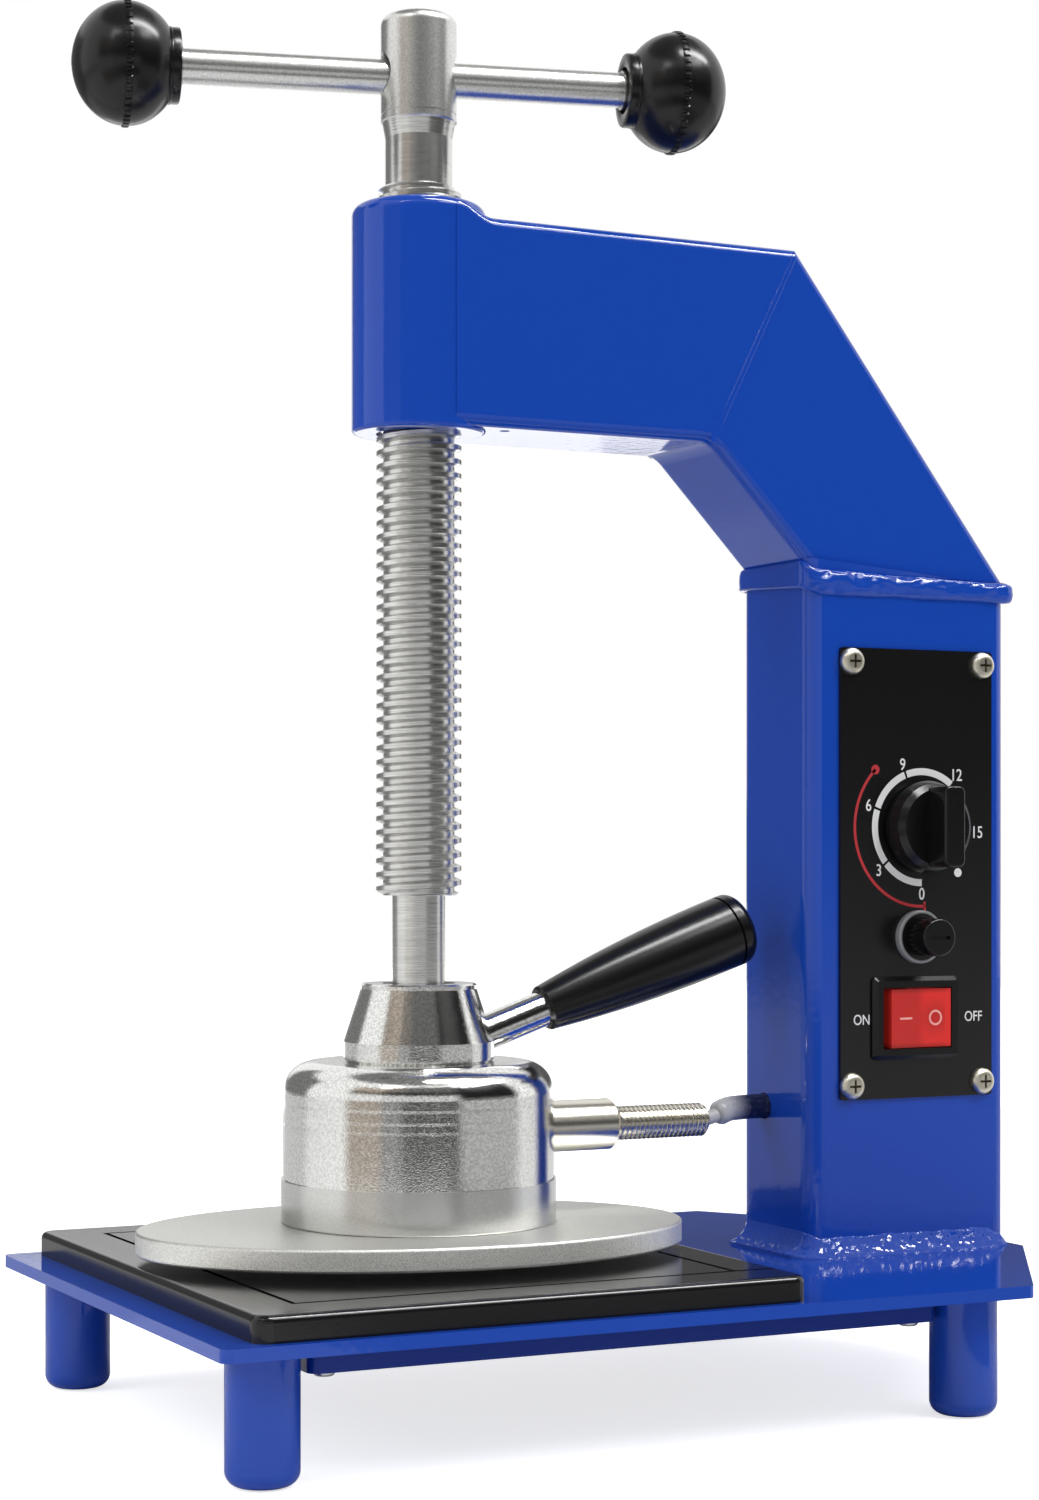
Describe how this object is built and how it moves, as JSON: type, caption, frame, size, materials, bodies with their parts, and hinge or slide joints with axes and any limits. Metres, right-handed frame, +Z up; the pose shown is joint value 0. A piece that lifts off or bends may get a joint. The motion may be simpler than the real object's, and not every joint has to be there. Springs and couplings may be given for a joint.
{
  "type": "tire vulcanizing machine",
  "caption": "Benchtop screw press with a heated clamping head over a flat platform, a control panel with timer, fuse and rocker switch on its column, and a sliding turning bar",
  "frame": {"origin": "on the floor under the middle of the base plate's length and width", "axes": "+Z is up along the screw, +X runs from the screw to the column, and -Y faces the control panel"},
  "size_m": [0.2939, 0.189, 0.3978],
  "materials": {
    "blue_paint": "glossy blue enamel with slight orange peel",
    "platform_black": "satin black coating with a soft sheen",
    "zinc_steel": "bright zinc plating",
    "satin_steel": "satin zinc plating with fine turning marks",
    "black_plastic": "moulded black phenolic plastic, semi-gloss",
    "chrome": "polished chrome with turning marks",
    "turned_aluminium": "turned and polished aluminium",
    "cast_aluminium": "fine sand-blasted casting",
    "nickel": "warm nickel plating",
    "element_steel": "dark oxidised steel sheath",
    "insulation": "woven mineral insulation board",
    "ceramic": "unglazed white ceramic",
    "timer_plastic": "moulded cream plastic",
    "brass": "plain brass",
    "red_rocker": "translucent red plastic",
    "panel_black": "matt black printed panel",
    "lead_core": "silicone insulated lead",
    "lead_sleeve": "dark blue heat-resistant sleeve",
    "fuse_glass": "clear glass tube"
  },
  "bodies": {
    "frame": {"base_plate": "blue_paint", "legs": "blue_paint", "bottom_cover": "blue_paint", "bottom_cover_screws": "zinc_steel", "platform": "platform_black", "platform_screws": "zinc_steel", "column_tube": "blue_paint", "foot_weld": "blue_paint", "knee_tube": "blue_paint", "knee_weld": "blue_paint", "arm_tube": "blue_paint", "arm_boss": "blue_paint", "screw_nut": "satin_steel", "panel_plate": "panel_black", "panel_screws": "nickel", "timer_body": "timer_plastic", "timer_nut": "zinc_steel", "fuse_holder": "black_plastic", "fuse_nut": "zinc_steel", "switch_housing": "black_plastic", "switch_terminals": "brass", "terminal_block": "ceramic", "terminal_block_screw": "zinc_steel", "mains_gland": "black_plastic", "gland_nut": "zinc_steel", "heater_lead": "lead_core", "lead_sleeve": "lead_sleeve"},
    "head": {"press_plate": "cast_aluminium", "head_screws": "zinc_steel", "heater_block": "turned_aluminium", "heater_element": "element_steel", "insulation_disc": "insulation", "thermostat": "ceramic", "load_post": "satin_steel", "post_screw": "zinc_steel", "heater_cover": "chrome", "cone_hub": "chrome", "thrust_washer": "satin_steel", "handle_rod": "chrome", "handle_grip": "black_plastic", "conduit_coupling": "nickel", "conduit_nipple": "nickel"},
    "screw": {"screw_spindle": "satin_steel", "screw_hub": "satin_steel"},
    "sliding_bar": {"tommy_bar": "satin_steel", "left_ball_knob": "black_plastic", "right_ball_knob": "black_plastic", "bar_rings": "zinc_steel"},
    "timer_dial": {"timer_shaft": "satin_steel", "timer_knob": "black_plastic"},
    "power_rocker": {"rocker": "red_rocker"},
    "fuse_link": {"fuse_cartridge": "fuse_glass"},
    "fuse_top": {"fuse_cap": "black_plastic"}
  },
  "joints": [
    {"name": "screw_turn", "type": "hinge", "parent": "head", "child": "screw", "pos_m": [-0.049, 0, 0.25], "axis": [0, 0, 1], "range_deg": [-180, 7200]},
    {"name": "screw_feed", "type": "slide", "parent": "frame", "child": "head", "axis": [0, 0, 1], "range_m": [-0.00201, 0.0801], "deforming": ["heater_lead", "lead_sleeve"]},
    {"name": "bar_slide", "type": "slide", "parent": "screw", "child": "sliding_bar", "axis": [0.9679, -0.2512, 0], "range_m": [-0.0478, 0.0557]},
    {"name": "timer_turn", "type": "hinge", "parent": "frame", "child": "timer_dial", "pos_m": [0.1086, -0.0215, 0.1665], "axis": [0, 1, 0], "range_deg": [-44, 274]},
    {"name": "rocker_tilt", "type": "hinge", "parent": "frame", "child": "power_rocker", "pos_m": [0.1059, -0.0182, 0.1088], "axis": [0, 0, -1], "range_deg": [0, 9]},
    {"name": "fuse_draw", "type": "slide", "parent": "frame", "child": "fuse_link", "axis": [0, -1, 0], "range_m": [0, 0.032]},
    {"name": "fuse_twist", "type": "hinge", "parent": "fuse_link", "child": "fuse_top", "pos_m": [0.1072, -0.03, 0.1333], "axis": [0, -1, 0], "range_deg": [0, 45]}
  ],
  "couplings": [
    {"joint": "screw_feed", "follows": "screw_turn", "m_per_rad": 0.00063662}
  ]
}
